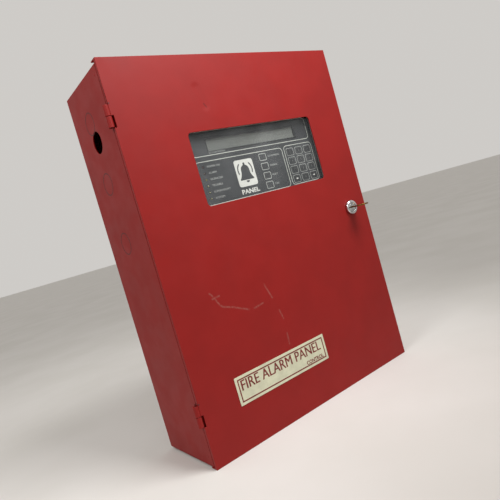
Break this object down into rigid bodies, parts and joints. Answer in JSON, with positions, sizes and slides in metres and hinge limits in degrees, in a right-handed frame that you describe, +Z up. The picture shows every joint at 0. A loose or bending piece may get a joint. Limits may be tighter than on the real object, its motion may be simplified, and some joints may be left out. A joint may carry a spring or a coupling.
{
  "type": "fire alarm control panel",
  "caption": "Wall-mounted fire alarm control panel: a red sheet-steel cabinet with a lockable hinged door, a window over a display and keypad, and standby batteries inside.",
  "frame": {"origin": "centre of the cabinet's back face, on the wall", "axes": "+Z up, +Y into the wall, +X to the right of someone facing the door"},
  "size_m": [0.3859, 0.16, 0.508],
  "materials": {
    "red_enamel": "satin powder coat",
    "zinc_plated_steel": "zinc plate",
    "steel_pin": "plain turned steel",
    "chrome_lock": "bright",
    "brass_key": "worn",
    "brass_stud": "plain",
    "clear_pane": "clear acrylic",
    "fuse_glass": "clear tube with plated caps",
    "grey_overlay": "printed overlay on steel",
    "dark_key": "fine matt",
    "cream_label": "printed plate",
    "board_green": "solder mask",
    "black_plastic": "moulded",
    "black_anodised": "black anodised",
    "capacitor_sleeve": "shrink sleeve",
    "lcd_grey": "polariser",
    "red_lamp": "tinted lens",
    "green_lamp": "tinted lens",
    "battery_case": "moulded case",
    "transformer_steel": "varnished laminations",
    "red_lead": "insulation",
    "black_lead": "insulation",
    "ribbon_grey": "flat cable"
  },
  "bodies": {
    "cabinet": {"back_box": "red_enamel", "upper_hinge_pin": "steel_pin", "lower_hinge_pin": "steel_pin", "ground_stud": "brass_stud", "faceplate": "grey_overlay", "display_board": "board_green", "lcd_module": "black_plastic", "lcd_glass": "lcd_grey", "led_1": "red_lamp", "led_2": "red_lamp", "led_3": "green_lamp", "led_4": "green_lamp", "led_5": "green_lamp", "led_6": "green_lamp", "chassis_plate": "zinc_plated_steel", "display_bracket": "zinc_plated_steel", "main_board": "board_green", "zone_terminal_strip": "black_plastic", "relay_terminal_strip": "black_plastic", "processor_chip": "black_plastic", "power_board": "board_green", "heat_sink": "black_anodised", "filter_capacitor": "capacitor_sleeve", "transformer": "transformer_steel", "ac_terminal_block": "black_plastic", "fuse_holder": "black_plastic", "fuse": "fuse_glass", "ribbon_cable": "ribbon_grey", "battery_left": "battery_case", "battery_right": "battery_case", "battery_bracket": "zinc_plated_steel", "battery_lead_red": "red_lead", "battery_lead_black": "black_lead", "battery_jumper": "black_lead"},
    "door": {"door": "red_enamel", "door_label": "cream_label", "window_pane": "clear_pane", "window_retainer": "zinc_plated_steel", "lock_body": "chrome_lock", "lock_nut": "zinc_plated_steel"},
    "lock": {"lock_plug": "chrome_lock", "lock_cam": "zinc_plated_steel", "lock_cam_screw": "zinc_plated_steel"},
    "key": {"key": "brass_key"},
    "key_1_body": {"key_1": "dark_key"},
    "key_2_body": {"key_2": "dark_key"},
    "key_3_body": {"key_3": "dark_key"},
    "key_4_body": {"key_4": "dark_key"},
    "key_5_body": {"key_5": "dark_key"},
    "key_6_body": {"key_6": "dark_key"},
    "key_7_body": {"key_7": "dark_key"},
    "key_8_body": {"key_8": "dark_key"},
    "key_9_body": {"key_9": "dark_key"},
    "key_left_body": {"key_left": "dark_key"},
    "key_0_body": {"key_0": "dark_key"},
    "key_right_body": {"key_right": "dark_key"},
    "function_button_1_body": {"function_button_1": "dark_key"},
    "function_button_2_body": {"function_button_2": "dark_key"},
    "function_button_3_body": {"function_button_3": "dark_key"},
    "function_button_4_body": {"function_button_4": "dark_key"}
  },
  "joints": [
    {"name": "door_swing", "type": "hinge", "parent": "cabinet", "child": "door", "pos_m": [-0.1907, -0.1223, 0], "axis": [0, 0, -1], "range_deg": [0, 175]},
    {"name": "lock_turn", "type": "hinge", "parent": "door", "child": "lock", "pos_m": [0.1565, -0.126, 0.0025], "axis": [0, 1, 0], "range_deg": [0, 90]},
    {"name": "key_slide", "type": "slide", "parent": "lock", "child": "key", "axis": [0, -1, 0], "range_m": [0, 0.03]},
    {"name": "key_1_press", "type": "slide", "parent": "cabinet", "child": "key_1_body", "axis": [0, 1, 0], "range_m": [0, 0.0006], "stiffness_N_per_m": 500},
    {"name": "key_2_press", "type": "slide", "parent": "cabinet", "child": "key_2_body", "axis": [0, 1, 0], "range_m": [0, 0.0006], "stiffness_N_per_m": 500},
    {"name": "key_3_press", "type": "slide", "parent": "cabinet", "child": "key_3_body", "axis": [0, 1, 0], "range_m": [0, 0.0006], "stiffness_N_per_m": 500},
    {"name": "key_4_press", "type": "slide", "parent": "cabinet", "child": "key_4_body", "axis": [0, 1, 0], "range_m": [0, 0.0006], "stiffness_N_per_m": 500},
    {"name": "key_5_press", "type": "slide", "parent": "cabinet", "child": "key_5_body", "axis": [0, 1, 0], "range_m": [0, 0.0006], "stiffness_N_per_m": 500},
    {"name": "key_6_press", "type": "slide", "parent": "cabinet", "child": "key_6_body", "axis": [0, 1, 0], "range_m": [0, 0.0006], "stiffness_N_per_m": 500},
    {"name": "key_7_press", "type": "slide", "parent": "cabinet", "child": "key_7_body", "axis": [0, 1, 0], "range_m": [0, 0.0006], "stiffness_N_per_m": 500},
    {"name": "key_8_press", "type": "slide", "parent": "cabinet", "child": "key_8_body", "axis": [0, 1, 0], "range_m": [0, 0.0006], "stiffness_N_per_m": 500},
    {"name": "key_9_press", "type": "slide", "parent": "cabinet", "child": "key_9_body", "axis": [0, 1, 0], "range_m": [0, 0.0006], "stiffness_N_per_m": 500},
    {"name": "key_left_press", "type": "slide", "parent": "cabinet", "child": "key_left_body", "axis": [0, 1, 0], "range_m": [0, 0.0006], "stiffness_N_per_m": 500},
    {"name": "key_0_press", "type": "slide", "parent": "cabinet", "child": "key_0_body", "axis": [0, 1, 0], "range_m": [0, 0.0006], "stiffness_N_per_m": 500},
    {"name": "key_right_press", "type": "slide", "parent": "cabinet", "child": "key_right_body", "axis": [0, 1, 0], "range_m": [0, 0.0006], "stiffness_N_per_m": 500},
    {"name": "function_button_1_press", "type": "slide", "parent": "cabinet", "child": "function_button_1_body", "axis": [0, 1, 0], "range_m": [0, 0.0006], "stiffness_N_per_m": 500},
    {"name": "function_button_2_press", "type": "slide", "parent": "cabinet", "child": "function_button_2_body", "axis": [0, 1, 0], "range_m": [0, 0.0006], "stiffness_N_per_m": 500},
    {"name": "function_button_3_press", "type": "slide", "parent": "cabinet", "child": "function_button_3_body", "axis": [0, 1, 0], "range_m": [0, 0.0006], "stiffness_N_per_m": 500},
    {"name": "function_button_4_press", "type": "slide", "parent": "cabinet", "child": "function_button_4_body", "axis": [0, 1, 0], "range_m": [0, 0.0006], "stiffness_N_per_m": 500}
  ]
}
